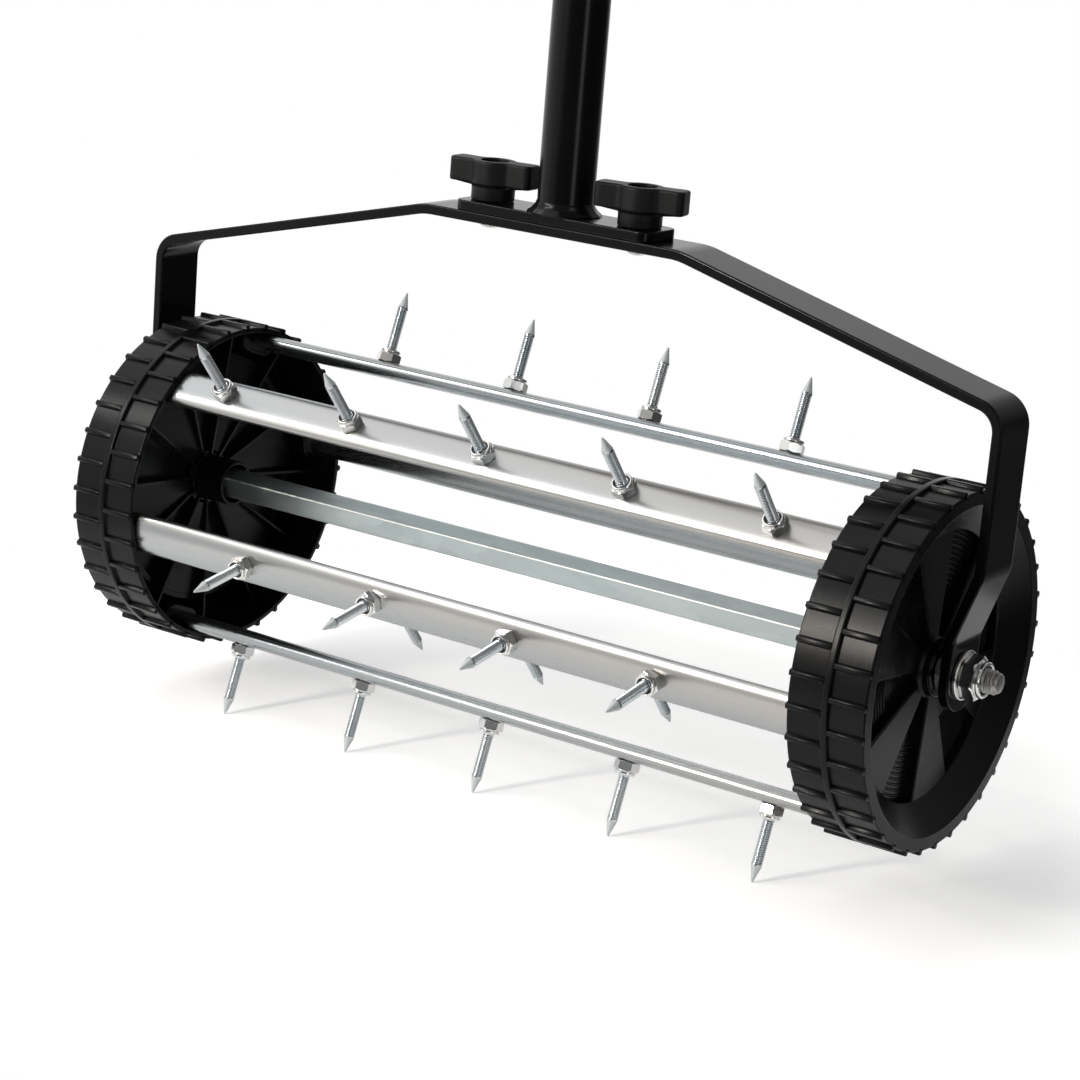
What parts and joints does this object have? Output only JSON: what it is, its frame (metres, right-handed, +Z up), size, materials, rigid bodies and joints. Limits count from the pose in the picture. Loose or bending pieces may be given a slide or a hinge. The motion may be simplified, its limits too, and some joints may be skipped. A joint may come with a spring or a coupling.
{
  "type": "spike aerator",
  "caption": "Hand-pushed lawn aerator: a spiked drum between two ribbed wheels turns on a square axle in a flat steel yoke, under an upright tube handle with a cross bar and grips.",
  "frame": {"origin": "on the ground under the middle of the axle, where the drum's lowest row of spikes stands", "axes": "+X along the axle toward the right wheel, +Y forward as pushed away, +Z up along the handle"},
  "size_m": [0.6066, 0.2778, 1.2056],
  "materials": {
    "wheel_plastic": "moulded black plastic, semi-matte",
    "zinc_tube": "bright zinc plate",
    "zinc_spike": "bright zinc plate, finely drawn",
    "zinc_nut": "bright zinc plate",
    "galvanised_bar": "matt blue-grey zinc",
    "black_paint": "gloss black paint",
    "black_plastic": "matte black moulding",
    "insert_brass": "plain brass",
    "grip_rubber": "soft black moulding"
  },
  "bodies": {
    "frame": {"axle": "galvanised_bar", "thrust_washers": "black_plastic", "inner_nuts": "zinc_nut", "axle_washers": "zinc_nut", "lock_nuts": "zinc_nut", "yoke": "black_paint", "foot_plate": "black_paint", "clamp_bolts": "zinc_nut", "lower_tube": "black_paint", "foot_weld": "black_paint", "upper_tube": "black_paint", "joint_bolt": "zinc_nut", "joint_nut": "zinc_nut", "cross_tube": "black_paint", "cross_weld": "black_paint", "tube_cap": "black_plastic", "grip_left": "grip_rubber", "grip_right": "grip_rubber"},
    "drum": {"wheel_left": "wheel_plastic", "wheel_right": "wheel_plastic", "spike_tube_1": "zinc_tube", "spike_tube_2": "zinc_tube", "spike_tube_3": "zinc_tube", "spike_tube_4": "zinc_tube", "spike_tube_5": "zinc_tube", "spike_tube_6": "zinc_tube", "spikes_1": "zinc_spike", "spikes_2": "zinc_spike", "spikes_3": "zinc_spike", "spikes_4": "zinc_spike", "spikes_5": "zinc_spike", "spikes_6": "zinc_spike", "spike_nuts_1": "zinc_nut", "spike_nuts_2": "zinc_nut", "spike_nuts_3": "zinc_nut", "spike_nuts_4": "zinc_nut", "spike_nuts_5": "zinc_nut", "spike_nuts_6": "zinc_nut"},
    "insert_left": {"knob_insert_left": "insert_brass"},
    "insert_right": {"knob_insert_right": "insert_brass"},
    "knob_left": {"knob_left": "black_plastic"},
    "knob_right": {"knob_right": "black_plastic"}
  },
  "joints": [
    {"name": "drum_roll", "type": "hinge", "parent": "frame", "child": "drum", "pos_m": [0, 0, 0.13258], "axis": [1, 0, 0], "continuous": true},
    {"name": "knob_left_climb", "type": "slide", "parent": "frame", "child": "insert_left", "axis": [0, 0, 1], "range_m": [0, 0.0075]},
    {"name": "knob_left_turn", "type": "hinge", "parent": "insert_left", "child": "knob_left", "pos_m": [-0.051, 0, 0.34058], "axis": [0, 0, 1], "range_deg": [0, 2160]},
    {"name": "knob_right_climb", "type": "slide", "parent": "frame", "child": "insert_right", "axis": [0, 0, 1], "range_m": [0, 0.0075]},
    {"name": "knob_right_turn", "type": "hinge", "parent": "insert_right", "child": "knob_right", "pos_m": [0.051, 0, 0.34058], "axis": [0, 0, 1], "range_deg": [0, 2160]}
  ],
  "couplings": [
    {"joint": "knob_left_climb", "follows": "knob_left_turn", "m_per_rad": 0.00019894},
    {"joint": "knob_right_climb", "follows": "knob_right_turn", "m_per_rad": 0.00019894}
  ]
}
